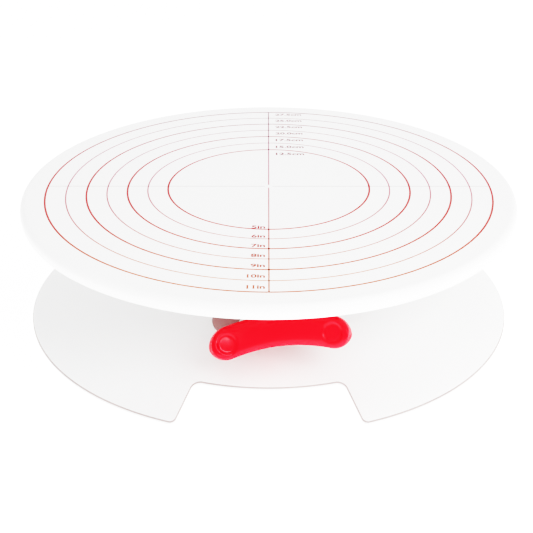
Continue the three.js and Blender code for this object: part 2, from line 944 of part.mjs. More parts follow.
// The two-armed brake.  Its wavy front meets the cam; its arms pass the front pedestal.
function brakeYoke() {
  const spacing = 2 * camLift * Math.cos(camLobes * camRestOffset * degrees / 2) + gap;
  const face = camFace + spacing;
  const inner = shaftRadius + gap;
  const ring = wavyRing(inner, yokeBack, face, -camLift, 0);
  const outline = stadium(yokeArmOuter, yokePlateHalfHeight, tiltAxisHeight);
  const plateFront = yokeBack - yokePlateThickness;
  const plate = slabY(outline, plateFront, yokeBack);
  const bore = cylinderY(inner, plateFront - overlap, yokeBack + overlap, camSides);
  const arms = [-1, 1].map((side) => yokeArm(side, yokeBack - yokePlateThickness / 2, yokeArmEnd));
  return combine(plate, { add: [ring, ...arms], cut: [bore] });
}

// A stretch of one brake arm, on the right (side 1) or on the left (side -1).
function yokeArm(side, y0, y1) {
  const [x0, x1] = side > 0 ? [yokeArmInner, yokeArmOuter] : [-yokeArmOuter, -yokeArmInner];
  return box(x0, x1, y0, y1, tiltAxisHeight - yokeArmHalfHeight, tiltAxisHeight + yokeArmHalfHeight);
}

function brakePad(side) {
  return yokeArm(side, padFront, padBack);
}

class Helix extends THREE.Curve {
  constructor(radius, turns, start, end) {
    super();
    Object.assign(this, { radius, turns, start, end });
  }

  getPoint(t) {
    const angle = 2 * Math.PI * this.turns * t;
    return new THREE.Vector3(
      this.radius * Math.cos(angle),
      this.start + (this.end - this.start) * t,
      tiltAxisHeight + this.radius * Math.sin(angle),
    );
  }
}

function brakeReturnSpring() {
  const wire = 0.6;
  const coilRadius = 7.5;
  const turns = 2.5;
  const start = yokeBack + gap + wire;
  const end = -pedestalOuter - gap - wire;
  const path = new Helix(coilRadius, turns, start, end);
  const section = new THREE.Shape();
  section.absarc(0, 0, wire, 0, 2 * Math.PI, false);
  return new THREE.ExtrudeGeometry(section, {
    steps: 30,
    extrudePath: path,
    bevelEnabled: false,
    curveSegments: 3,
  });
}

// ---------------------------------------------------------------- assembly

const turntable = new THREE.Group();
turntable.name = 'cake_turntable';

function add(name, geometry, material) {
  const crease = 35 * degrees;
  const mesh = new THREE.Mesh(toCreasedNormals(weld(geometry), crease), material);
  mesh.name = name;
  turntable.add(mesh);
}

add('turntable_plate', turntablePlate(), whitePlastic());
add('turntable_hub', turntableHub(), greyPlastic());
hubScrewPlaces().forEach((place, i) => add(`hub_screw_${i + 1}`, hubScrew(place), steel()));
add('centre_spindle', centreSpindle(), steel());
add('spindle_washer', spindleWasher(), steel());
add('spindle_nut', spindleNut(), steel());

add('upper_race', race(upperRaceBottom, upperRaceTop, -1), steel());
add('ball_cage', ballCage(), blackAcetal());
ballPlaces().forEach((place, i) => add(`bearing_ball_${i + 1}`, bearingBall(place), steel()));
add('lower_race', race(lowerRaceBottom, lowerRaceTop, 1), steel());

add('tilt_head', tiltHead(), greyPlastic());
add('tilt_pin_front', tiltPin(-1), steel());
add('tilt_pin_rear', tiltPin(1), steel());

add('base_shell', baseShell(), whitePlastic());
add('pivot_tub', pivotTub(), whitePlastic());
tubScrewPlaces().forEach((place, i) => add(`tub_screw_${i + 1}`, tubScrew(place), steel()));
add('axle_cap_front', axleCap(-1), greyPlastic());
add('axle_cap_rear', axleCap(1), greyPlastic());
capScrewPlaces(-1).forEach((place, i) => add(`front_cap_screw_${i + 1}`, capScrew(place), steel()));
capScrewPlaces(1).forEach((place, i) => add(`rear_cap_screw_${i + 1}`, capScrew(place), steel()));
footPlaces().forEach((place, i) => add(`rubber_foot_${i + 1}`, rubberFoot(place), rubber()));

add('rocker_back_plate', rockerBackPlate(), greyPlastic());
backPlateScrewPlaces().forEach((place, i) => {
  add(`back_plate_screw_${i + 1}`, backPlateScrew(place), steel());
});
add('lever_bushing', leverBushing(), blackAcetal());
add('lock_lever', lockLever(), redPlastic());
add('lever_shaft', leverShaft(), steel());
add('lock_cam', lockCam(), blackAcetal());
add('brake_yoke', brakeYoke(), greyPlastic());
add('brake_pad_left', brakePad(-1), rubber());
add('brake_pad_right', brakePad(1), rubber());
add('brake_return_spring', brakeReturnSpring(), steel());

export default turntable;
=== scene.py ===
# Looks of the tilting cake turntable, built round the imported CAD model.
#
# The plate, base, rocker, back plate, bearing, hub and feet are remade here with finer
# shapes, and the moulded head, tub and axle caps get rounded edges.  The printed rings are
# thin raised pieces that turn with the plate.  The other pieces keep their CAD shapes and
# get detailed materials.

import math

import bmesh
import bpy
from mathutils import Matrix, Vector
from mathutils.geometry import delaunay_2d_cdt


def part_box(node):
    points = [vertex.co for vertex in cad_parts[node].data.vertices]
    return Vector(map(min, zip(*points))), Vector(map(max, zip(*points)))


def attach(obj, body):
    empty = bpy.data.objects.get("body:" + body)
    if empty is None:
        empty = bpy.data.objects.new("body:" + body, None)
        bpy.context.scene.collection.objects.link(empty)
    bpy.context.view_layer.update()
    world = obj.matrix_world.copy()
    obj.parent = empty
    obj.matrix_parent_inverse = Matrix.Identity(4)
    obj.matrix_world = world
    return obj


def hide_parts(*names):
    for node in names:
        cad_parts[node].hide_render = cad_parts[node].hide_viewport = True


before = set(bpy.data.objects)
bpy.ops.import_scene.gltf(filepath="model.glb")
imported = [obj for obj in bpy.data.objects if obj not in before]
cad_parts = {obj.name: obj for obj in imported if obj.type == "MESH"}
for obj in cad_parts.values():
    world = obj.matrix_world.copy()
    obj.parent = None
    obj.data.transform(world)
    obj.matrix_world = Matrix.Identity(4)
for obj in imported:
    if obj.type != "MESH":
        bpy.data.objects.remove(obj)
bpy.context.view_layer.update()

MM = 0.001


# ------------------------------------------------------------ sizes taken from the CAD model

plate_low, plate_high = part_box("turntable_plate")
back_plate_low, back_plate_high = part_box("rocker_back_plate")
hub_low, hub_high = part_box("turntable_hub")
shaft_low, shaft_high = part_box("lever_shaft")
ball_low, ball_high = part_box("bearing_ball_1")
_, base_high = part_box("base_shell")
_, bushing_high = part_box("lever_bushing")
_, spindle_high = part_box("centre_spindle")

PLATE_R = plate_high.x
PLATE_TOP = plate_high.z
PLATE_RIM_BOTTOM = plate_low.z
BASE_R = base_high.x
TILT_AXIS_Z = (shaft_low.z + shaft_high.z) / 2


# ------------------------------------------------------------ materials

class Nodes:
    """A small helper that builds a Principled material node by node."""

    def __init__(self, name):
        self.material = bpy.data.materials.new(name)
        self.material.use_nodes = True
        self.tree = self.material.node_tree
        self.shader = self.tree.nodes["Principled BSDF"]

    def new(self, kind, **inputs):
        node = self.tree.nodes.new(kind)
        for key, value in inputs.items():
            node.inputs[key].default_value = value
        return node

    def link(self, source, target):
        self.tree.links.new(source, target)

    def object_coordinates(self):
        return self.tree.nodes.new("ShaderNodeTexCoord").outputs["Object"]

    def noise(self, vector, scale, detail=3.0, roughness=0.5):
        node = self.new("ShaderNodeTexNoise", Scale=scale, Detail=detail, Roughness=roughness)
        self.link(vector, node.inputs["Vector"])
        return node.outputs["Fac"]

    def ramp(self, value, stops):
        node = self.tree.nodes.new("ShaderNodeValToRGB")
        elements = node.color_ramp.elements
        while len(elements) < len(stops):
            elements.new(0.5)
        for element, (position, colour) in zip(elements, stops):
            element.position = position
            element.color = (*colour, 1.0)
        self.link(value, node.inputs["Fac"])
        return node.outputs["Color"]

    def span(self, value, low, high):
        node = self.tree.nodes.new("ShaderNodeMapRange")
        node.inputs["To Min"].default_value = low
        node.inputs["To Max"].default_value = high
        self.link(value, node.inputs["Value"])
        return node.outputs["Result"]

    def bump(self, height, distance, strength):
        node = self.new("ShaderNodeBump", Strength=strength, Distance=distance)
        self.link(height, node.inputs["Height"])
        self.link(node.outputs["Normal"], self.shader.inputs["Normal"])


def darker(colour, share):
    return tuple(share * part for part in colour)


def moulded_plastic(name, colour, shade, roughness, specular=0.5):
    """Moulded plastic: faint flow shading, a fine grain, and a slightly uneven gloss."""
    flow_scale, gloss_scale, grain_scale = 14.0, 55.0, 900.0
    grain_depth = 0.06 * MM
    made = Nodes(name)
    spot = made.object_coordinates()
    flow = made.noise(spot, flow_scale, detail=4.0, roughness=0.6)
    made.link(made.ramp(flow, [(0.3, shade), (0.7, colour)]), made.shader.inputs["Base Color"])
    gloss = made.noise(spot, gloss_scale, detail=5.0)
    made.link(made.span(gloss, roughness - 0.06, roughness + 0.08), made.shader.inputs["Roughness"])
    grain = made.noise(spot, grain_scale, detail=2.0)
    made.bump(grain, grain_depth, strength=0.35)
    made.shader.inputs["IOR"].default_value = 1.5
    made.shader.inputs["Specular IOR Level"].default_value = specular
    return made.material


def turned_steel(name, colour, roughness):
    """Ground steel with fine turning marks, close together along Z, and duller patches."""
    mark_scale, patch_scale = 420.0, 60.0
    mark_depth = 0.03 * MM
    made = Nodes(name)
    spot = made.object_coordinates()
    stretch = made.tree.nodes.new("ShaderNodeMapping")
    stretch.inputs["Scale"].default_value = (1.0, 1.0, 9.0)
    made.link(spot, stretch.inputs["Vector"])
    marks = made.noise(stretch.outputs["Vector"], mark_scale, detail=4.0)
    patches = made.noise(spot, patch_scale, detail=3.0)
    dull = darker(colour, 0.82)
    made.link(made.ramp(patches, [(0.35, dull), (0.65, colour)]), made.shader.inputs["Base Color"])
    made.link(made.span(marks, roughness - 0.08, roughness + 0.14), made.shader.inputs["Roughness"])
    made.bump(marks, mark_depth, strength=0.3)
    made.shader.inputs["Metallic"].default_value = 1.0
    return made.material


def soft_rubber(name, colour):
    """Matt rubber with a fine pitted skin."""
    pit_scale, mottle_scale = 1500.0, 120.0
    pit_depth = 0.1 * MM
    made = Nodes(name)
    spot = made.object_coordinates()
    pits = made.noise(spot, pit_scale, detail=3.0, roughness=0.7)
    mottle = made.noise(spot, mottle_scale, detail=3.0)
    shade = darker(colour, 0.8)
    made.link(made.ramp(mottle, [(0.3, shade), (0.7, colour)]), made.shader.inputs["Base Color"])
    made.link(made.span(pits, 0.72, 0.92), made.shader.inputs["Roughness"])
    made.bump(pits, pit_depth, strength=0.5)
    return made.material


def printed_ink(name, stops):
    """Ink whose hue drifts from the front of the plate to its back, with thin spots."""
    speckle_scale, thinnest, roughness = 2600.0, 0.16, 0.42
    made = Nodes(name)
    spot = made.object_coordinates()
    split = made.tree.nodes.new("ShaderNodeSeparateXYZ")
    made.link(spot, split.inputs["Vector"])
    share = made.tree.nodes.new("ShaderNodeMapRange")
    share.inputs["From Min"].default_value = -PLATE_R
    share.inputs["From Max"].default_value = PLATE_R
    made.link(split.outputs["Y"], share.inputs["Value"])
    drift = made.ramp(share.outputs["Result"], stops)
    speckle = made.noise(spot, speckle_scale, detail=2.0)
    thin = made.tree.nodes.new("ShaderNodeMix")
    thin.data_type = "RGBA"
    thin.inputs["B"].default_value = (0.8, 0.55, 0.52, 1.0)
    made.link(made.span(speckle, 0.0, thinnest), thin.inputs["Factor"])
    made.link(drift, thin.inputs["A"])
    made.link(thin.outputs["Result"], made.shader.inputs["Base Color"])
    made.shader.inputs["Roughness"].default_value = roughness
    return made.material


PALE, PALE_SHADE = (0.90, 0.90, 0.895), (0.88, 0.88, 0.878)
WHITE = moulded_plastic("white_plate_plastic", PALE, PALE_SHADE, 0.38)
BASE_WHITE = moulded_plastic("white_base_plastic", PALE, PALE_SHADE, 0.40)
GREY = moulded_plastic("light_grey_plastic", (0.66, 0.65, 0.64), (0.60, 0.59, 0.585), 0.48)
RED = moulded_plastic("red_plastic", (0.95, 0.017, 0.036), (0.88, 0.012, 0.032), 0.17, specular=0.4)
# The back plate's colour is a light grey darkened and tinted red: painted shade from the rocker and painted
# red light bounced off it.
BACK_PLATE_SHADE_AND_RED_BOUNCE = moulded_plastic("back_plate_painted_shade_and_red_bounce", (0.27, 0.175, 0.17), (0.24, 0.16, 0.155), 0.5)
# A darker, brownish grey for the upper rounded edge of the base's skin: painted shade along the lip.
LIP_PAINTED_SHADE = moulded_plastic("lip_painted_shade_plastic", (0.42, 0.355, 0.34), (0.32, 0.27, 0.26), 0.6)
ACETAL = moulded_plastic("black_acetal", (0.030, 0.030, 0.033), (0.022, 0.022, 0.025), 0.42)
STEEL = turned_steel("ground_steel", (0.62, 0.63, 0.65), 0.30)
ZINC = turned_steel("zinc_plated_steel", (0.70, 0.70, 0.68), 0.36)
RUBBER = soft_rubber("grey_rubber", (0.22, 0.22, 0.225))
BOLD_INK = printed_ink("bold_ring_ink", [
    (0.10, (0.40, 0.090, 0.022)),
    (0.30, (0.38, 0.022, 0.014)),
    (0.60, (0.36, 0.020, 0.030)),
    (0.90, (0.22, 0.090, 0.125)),
])
FINE_INK = printed_ink("fine_ring_ink", [
    (0.10, (0.46, 0.170, 0.075)),
    (0.30, (0.38, 0.110, 0.110)),
    (0.60, (0.36, 0.110, 0.170)),
    (0.90, (0.24, 0.130, 0.165)),
])
LETTER_INK = printed_ink("size_number_ink", [
    (0.05, (0.36, 0.070, 0.015)),
    (0.30, (0.28, 0.012, 0.018)),
    (0.60, (0.16, 0.040, 0.055)),
    (0.95, (0.22, 0.110, 0.135)),
])
FAINT_INK = printed_ink("faint_line_ink", [
    (0.10, (0.36, 0.34, 0.345)),
    (0.90, (0.38, 0.36, 0.365)),
])


# ------------------------------------------------------------ mesh helpers

MERGE_DISTANCE = 1e-7


def new_object(name, data):
    """An object for a mesh, a text, a lamp or a camera, linked into the scene."""
    made = bpy.data.objects.new(name, data)
    bpy.context.scene.collection.objects.link(made)
    return made


def make_object(name, verts, faces, material, sharp=35):
    mesh = bpy.data.meshes.new(name)
    mesh.from_pydata([tuple(v) for v in verts], [], faces)
    mesh.validate()
    work = bmesh.new()
    work.from_mesh(mesh)
    bmesh.ops.remove_doubles(work, verts=work.verts, dist=MERGE_DISTANCE)
    bmesh.ops.recalc_face_normals(work, faces=work.faces)
    work.to_mesh(mesh)
    work.free()
    mesh.materials.append(material)
    made = new_object(name, mesh)
    smooth(made, sharp)
    return made


def smooth(piece, sharp):
    mesh = piece.data
    mesh.polygons.foreach_set("use_smooth", [True] * len(mesh.polygons))
    mesh.set_sharp_from_angle(angle=math.radians(sharp))
    mesh.update()


def apply_modifiers(piece):
    """Replaces a piece's mesh by the result of its modifiers."""
    graph = bpy.context.evaluated_depsgraph_get()
    graph.update()
    done = bpy.data.meshes.new_from_object(piece.evaluated_get(graph))
    materials = list(piece.data.materials)
    piece.modifiers.clear()
    piece.data = done
    if not done.materials:
        for material in materials:
            done.materials.append(material)


def bevel(piece, width, segments, angle):
    modifier = piece.modifiers.new("bevel", "BEVEL")
    modifier.width = width
    modifier.segments = segments
    modifier.limit_method = "ANGLE"
    modifier.angle_limit = math.radians(angle)
    modifier.harden_normals = False
    apply_modifiers(piece)


def boolean(piece, other, operation):
    """Joins another solid to the piece, or cuts it away, and deletes the other."""
    modifier = piece.modifiers.new("boolean", "BOOLEAN")
    modifier.operation = operation
    modifier.solver = "EXACT"
    modifier.object = other
    apply_modifiers(piece)
    bpy.data.objects.remove(other)


def revolve(name, profile, material, segments, closed=True):
    """A solid of revolution about Z from (radius, height) points.

    A closed profile goes all the way round a ring.  An open one starts and ends on the
    axis.
    """
    verts, faces = [], []
    count = len(profile)
    for i in range(segments):
        angle = 2 * math.pi * i / segments
        c, s = math.cos(angle), math.sin(angle)
        verts += [(r * c, r * s, z) for r, z in profile]
    last = count if closed else count - 1
    for i in range(segments):
        a, b = i * count, ((i + 1) % segments) * count
        for j in range(last):
            k = (j + 1) % count
            faces.append((a + j, b + j, b + k, a + k))
    return make_object(name, verts, faces, material)


def arc(centre_r, centre_z, radius, start, end, steps):
    points = []
    for i in range(steps + 1):
        angle = math.radians(start + (end - start) * i / steps)
        points.append((centre_r + radius * math.cos(angle), centre_z + radius * math.sin(angle)))
    return points


def prism(name, outline, low, high, material, axis="Z"):
    """A closed outline given thickness along Z, or along Y with the outline in X and Z."""
    count = len(outline)
    verts = []
    for level in (low, high):
        for u, v in outline:
            verts.append((u, v, level) if axis == "Z" else (u, level, v))
    faces = [tuple(range(count)), tuple(range(2 * count - 1, count - 1, -1))]
    for i in range(count):
        j = (i + 1) % count
        faces.append((i, j, j + count, i + count))
    return make_object(name, verts, faces, material)


def stadium(half_width, end_radius, height, steps=24):
    """The outline of a bar with round ends, its middle line at a height."""
    reach = half_width - end_radius
    right = arc(reach, height, end_radius, -90, 90, steps)
    left = arc(-reach, height, end_radius, 90, 270, steps)
    return right + left


def cylinder_y(name, radius, y0, y1, x, z, material, steps=48):
    return prism(name, circle(radius, x, z, steps), y0, y1, material, axis="Y")


def place(piece, body, slot, *nodes):
    """Rides a finished piece on its body and hides the CAD nodes it stands for."""
    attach(piece, body)
    if nodes:
        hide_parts(*nodes)


def merged(name, pieces):
    """One object from several, whose solids stay side by side."""
    work = bmesh.new()
    for piece in pieces:
        work.from_mesh(piece.data)
    mesh = bpy.data.meshes.new(name)
    work.to_mesh(mesh)
    work.free()
    for material in pieces[0].data.materials:
        mesh.materials.append(material)
    for piece in pieces:
        bpy.data.objects.remove(piece)
    return new_object(name, mesh)


def block(name, low, high, material):
    outline = [(low[0], low[1]), (high[0], low[1]), (high[0], high[1]), (low[0], high[1])]
    return prism(name, outline, low[2], high[2], material)


def circle(radius, x, y, steps=32):
    turn = 2 * math.pi / steps
    return [(x + radius * math.cos(turn * i), y + radius * math.sin(turn * i)) for i in range(steps)]


def quarter_turns(radius):
    """Four places at 45, 135, 225 and 315 degrees round the middle."""
    angles = [math.radians(45 + 90 * i) for i in range(4)]
    return [(radius * math.cos(a), radius * math.sin(a)) for a in angles]


# ------------------------------------------------------------ the turning plate

GAP = 0.3 * MM
SCREW_HOLE_R = 1.8 * MM
HUB_SCREW_CIRCLE = 25 * MM
PLATE_SKIN = 2.6 * MM
RIM_THICKNESS = 5.5 * MM
PLATE_UNDERSIDE = PLATE_TOP - PLATE_SKIN
SKIRT_INNER = PLATE_R - RIM_THICKNESS
PAD_R = hub_high.x + 1 * MM
PAD_BOTTOM = hub_high.z + GAP
HOLE_ROOF = 1.2 * MM
RIB_HEIGHT = 4 * MM
RIB_BOTTOM = PLATE_UNDERSIDE - RIB_HEIGHT
RIB_COUNT = 12
RIB_HALF = 0.9 * MM


def plate_profile():
    """Half of a section through the plate, from the middle of its underside to its top."""
    pocket_r = 9.3 * MM
    pocket_top = spindle_high.z + GAP
    stiffener_r = 102 * MM
    stiffener_width = 2 * MM
    inner_round, outer_round = 1.4 * MM, 1.2 * MM
    crown_depth, crown_reach, crown_steps = 4.4 * MM, 4.0 * MM, 16
    pad_taper = 0.8 * MM
    rim_draft = 0.3 * MM
    points = [(0, pocket_top), (pocket_r, pocket_top), (pocket_r, PAD_BOTTOM), (PAD_R, PAD_BOTTOM)]
    points += [(PAD_R + pad_taper, PLATE_UNDERSIDE), (stiffener_r, PLATE_UNDERSIDE)]
    points += [(stiffener_r, RIB_BOTTOM), (stiffener_r + stiffener_width, RIB_BOTTOM)]
    points += [(stiffener_r + stiffener_width, PLATE_UNDERSIDE), (SKIRT_INNER, PLATE_UNDERSIDE)]
    points += arc(SKIRT_INNER + inner_round, PLATE_RIM_BOTTOM + inner_round, inner_round, 180, 270, 6)
    foot_r = PLATE_R - rim_draft - outer_round
    points += arc(foot_r, PLATE_RIM_BOTTOM + outer_round, outer_round, -90, -8, 8)
    for i in range(crown_steps + 1):
        turn = math.pi / 2 * i / crown_steps
        points.append((
            PLATE_R - crown_reach * (1 - math.cos(turn)),
            PLATE_TOP - crown_depth * (1 - math.sin(turn)),
        ))
    points += [(0, PLATE_TOP)]
    return points


def build_plate():
    plate = revolve("plate_shell", plate_profile(), WHITE, segments=288, closed=False)
    ribs = []
    rib_end = SKIRT_INNER + 0.6 * MM
    for i in range(RIB_COUNT):
        rib = block(f"rib_{i}", (PAD_R - MM, -RIB_HALF, RIB_BOTTOM),
                    (rib_end, RIB_HALF, PLATE_UNDERSIDE + MM), WHITE)
        rib.data.transform(Matrix.Rotation(2 * math.pi * (i + 0.5) / RIB_COUNT, 4, "Z"))
        ribs.append(rib)
    boolean(plate, merged("ribs", ribs), "UNION")
    holes = [
        prism(f"hole_{i}", circle(SCREW_HOLE_R, x, y), PAD_BOTTOM - MM, PLATE_TOP - HOLE_ROOF, WHITE)
        for i, (x, y) in enumerate(quarter_turns(HUB_SCREW_CIRCLE))
    ]
    boolean(plate, merged("holes", holes), "DIFFERENCE")
    smooth(plate, 30)
    place(plate, "turntable", "plate_white", "turntable_plate")


# ------------------------------------------------------------ the printed size rings

INCH = 25.4 * MM
INK_LOW = PLATE_TOP - 0.05 * MM
INK_HIGH = PLATE_TOP + 0.03 * MM
SIZES = range(5, 12)
INK_SEGMENTS = 360


def ring_radius(size):
    return size * INCH / 2


def flat_ring(name, radius, width, material):
    inner, outer = radius - width / 2, radius + width / 2
    profile = [(inner, INK_LOW), (outer, INK_LOW), (outer, INK_HIGH), (inner, INK_HIGH)]
    return revolve(name, profile, material, segments=INK_SEGMENTS)


def flat_strip(name, x0, x1, y0, y1, material):
    return block(name, (x0, y0, INK_LOW), (x1, y1, INK_HIGH), material)


def lettering(name, words, height, width, corner, align, material):
    """Text laid flat on the plate, its digits `height` tall and the whole `width` wide."""
    boldness = 0.03
    curve = bpy.data.curves.new(name, "FONT")
    curve.body = words
    curve.extrude = (INK_HIGH - INK_LOW) / 2
    curve.offset = boldness
    curve.resolution_u = 3
    source = new_object(name + "_source", curve)
    graph = bpy.context.evaluated_depsgraph_get()
    graph.update()
    mesh = bpy.data.meshes.new_from_object(source.evaluated_get(graph))
    bpy.data.objects.remove(source)
    xs = [v.co.x for v in mesh.vertices]
    ys = [v.co.y for v in mesh.vertices]
    across = width / (max(xs) - min(xs))
    up = height / (max(ys) - min(ys))
    start = corner[0] - (width if align == "RIGHT" else 0.0)
    for vertex in mesh.vertices:
        vertex.co.x = start + (vertex.co.x - min(xs)) * across
        vertex.co.y = corner[1] + (vertex.co.y - min(ys)) * up
        vertex.co.z += (INK_LOW + INK_HIGH) / 2
    mesh.materials.clear()
    mesh.materials.append(material)
    return new_object(name, mesh)


def build_printing():
    made = printed_lines() + printed_sizes()
    for piece in made:
        place(piece, "turntable", "plate_white")


def printed_lines():
    """The size rings, bold for the odd inches, and the two lines that cross in the middle."""
    bold, fine = 1.25 * MM, 0.85 * MM
    made = []
    for size in SIZES:
        odd = size % 2 == 1
        width, ink = (bold, BOLD_INK) if odd else (fine, FINE_INK)
        made.append(flat_ring(f"size_ring_{size}", ring_radius(size), width, ink))
    first, last = ring_radius(SIZES[0]), ring_radius(SIZES[-1])
    half = 0.38 * MM
    centre_gap = 2.2 * MM
    made.append(flat_strip("centre_line_rear", -half, half, centre_gap, last, FINE_INK))
    made.append(flat_strip("centre_line_front", -half, half, -first, -centre_gap, FINE_INK))
    made.append(flat_strip("centre_line_front_bold", -half, half, -last, -first, BOLD_INK))
    thin = 0.28 * MM
    made.append(flat_strip("cross_line_left", -last, -centre_gap, -thin, thin, FAINT_INK))
    made.append(flat_strip("cross_line_right", centre_gap, last, -thin, thin, FAINT_INK))
    return made


def printed_sizes():
    """Inches inside the front of each ring and centimetres inside its back.

    The numbers stand a little farther from the ring on the larger rings at the front, and
    on the smaller rings at the back.
    """
    digit_height = 4.2 * MM
    inch_width, wide_inch_width, centimetre_width = 8.0 * MM, 9.8 * MM, 19.2 * MM
    inch_right, centimetre_left = -2.1 * MM, 4.9 * MM
    inch_rise, inch_rise_step = 1.1, 0.42
    centimetre_drop, centimetre_drop_step = 3.0, 0.45
    rows = len(SIZES)
    made = []
    for row, size in enumerate(SIZES):
        baseline = -ring_radius(size) + (inch_rise + inch_rise_step * row) * MM
        width = inch_width if size < 10 else wide_inch_width
        made.append(lettering(f"inch_size_{size}", f"{size}in", digit_height, width,
                              (inch_right, baseline), "RIGHT", LETTER_INK))
        drop = (centimetre_drop + centimetre_drop_step * (rows - 1 - row)) * MM
        baseline = ring_radius(size) - drop - digit_height
        made.append(lettering(f"centimetre_size_{size}", f"{2.5 * size:.1f}cm", digit_height,
                              centimetre_width, (centimetre_left, baseline), "LEFT", LETTER_INK))
    return made


# ------------------------------------------------------------ the base

BASE_SKIN = 2.4 * MM
LIP_TOP = 3.4 * MM
CONE_SLOPE = 0.32
WELL_R = 66 * MM
RING_WIDTH = 12 * MM
RING_OUTER = WELL_R + RING_WIDTH
RING_TOP = LIP_TOP + CONE_SLOPE * (BASE_R - RING_OUTER)
RING_UNDERSIDE = RING_TOP - BASE_SKIN
NOTCH_HALF = math.radians(19.8)
NOTCH_R = 125 * MM
NOTCH_INNER_ROUND = 5 * MM
NOTCH_OUTER_ROUND = 3.2 * MM
CONE_COLUMNS = 180


def cone_height(radius):
    return LIP_TOP + CONE_SLOPE * (BASE_R - radius)


def polar(radius, angle):
    return Vector((radius * math.cos(angle), radius * math.sin(angle)))


def bend(centre, radius, start, end, steps):
    return [centre + polar(radius, start + (end - start) * i / steps) for i in range(steps + 1)]


def base_outline():
    """The base seen from above, anticlockwise from the middle of the front notch."""
    front = -math.pi / 2
    side = front + NOTCH_HALF
    outer_turn = math.asin(NOTCH_OUTER_ROUND / (BASE_R - NOTCH_OUTER_ROUND))
    inner_turn = math.asin(NOTCH_INNER_ROUND / (NOTCH_R + NOTCH_INNER_ROUND))
    inner_centre = polar(NOTCH_R + NOTCH_INNER_ROUND, side - inner_turn)
    outer_centre = polar(BASE_R - NOTCH_OUTER_ROUND, side + outer_turn)
    origin = Vector((0.0, 0.0))
    arc_steps, side_steps, rim_steps = 24, 16, 190
    inner_steps, outer_steps = 12, 10
    inner_arc = bend(origin, NOTCH_R, front, side - inner_turn, arc_steps)
    inner_corner = bend(inner_centre, NOTCH_INNER_ROUND, side - inner_turn + math.pi,
                        side + math.pi / 2, inner_steps)
    outer_corner = bend(outer_centre, NOTCH_OUTER_ROUND, side - math.pi / 2,
                        side + outer_turn, outer_steps)
    near, far = inner_corner[-1], outer_corner[0]
    straight = [near.lerp(far, i / side_steps) for i in range(1, side_steps)]
    rim = bend(origin, BASE_R, side + outer_turn, -front, rim_steps)
    half = inner_arc[:-1] + inner_corner + straight + outer_corner + rim[1:]
    other = [Vector((-p.x, p.y)) for p in reversed(half)]
    return half + other[1:-1]


def inset(outline, distance):
    """The outline moved inwards, each point square to the line through its neighbours."""
    count = len(outline)
    moved = []
    for i, point in enumerate(outline):
        along = (outline[(i + 1) % count] - outline[i - 1]).normalized()
        moved.append(point + Vector((-along.y, along.x)) * distance)
    return moved


def cone_sheet(outline):
    """Flat triangles between the well's ring and an outline, seen from above."""
    columns, rows = CONE_COLUMNS, 12
    turn = 2 * math.pi / columns
    first_row = 0.6 * MM
    ring = [polar(RING_OUTER, turn * i) for i in range(columns)]
    points = list(outline) + ring
    count = len(outline)
    edges = [(i, (i + 1) % count) for i in range(count)]
    edges += [(count + i, count + (i + 1) % columns) for i in range(columns)]
    radii = [RING_OUTER + first_row]
    radii += [RING_OUTER + (BASE_R - RING_OUTER) * row / rows for row in range(1, rows)]
    clear = 2.5 * MM
    for radius in radii:
        for i in range(columns):
            angle = turn * i
            off_front = abs(angle - 1.5 * math.pi)
            near_notch = off_front < NOTCH_HALF + clear / radius and radius > NOTCH_R - clear
            if not near_notch:
                points.append(polar(radius, angle))
    verts, _, faces, *_ = delaunay_2d_cdt(points, edges, [], 1, MERGE_DISTANCE)
    least = RING_OUTER * math.cos(turn / 2)
    kept = [
        tuple(face) for face in faces
        if (sum((verts[i] for i in face), Vector((0.0, 0.0))) / len(face)).length > least
    ]
    return verts, kept


def edge_rows(thickness):
    """How far in and how far down each row of the rounded edge of the skin lies."""
    upper, lower, steps = 0.9 * MM, 0.5 * MM, 6
    rows = []
    for i in range(steps + 1):
        turn = math.pi / 2 * i / steps
        rows.append((upper * (1 - math.sin(turn)), upper * (1 - math.cos(turn))))
    for i in range(steps + 1):
        turn = math.pi / 2 * i / steps
        rows.append((lower * (1 - math.cos(turn)), thickness - lower * (1 - math.sin(turn))))
    rows.append((upper, thickness))
    return rows


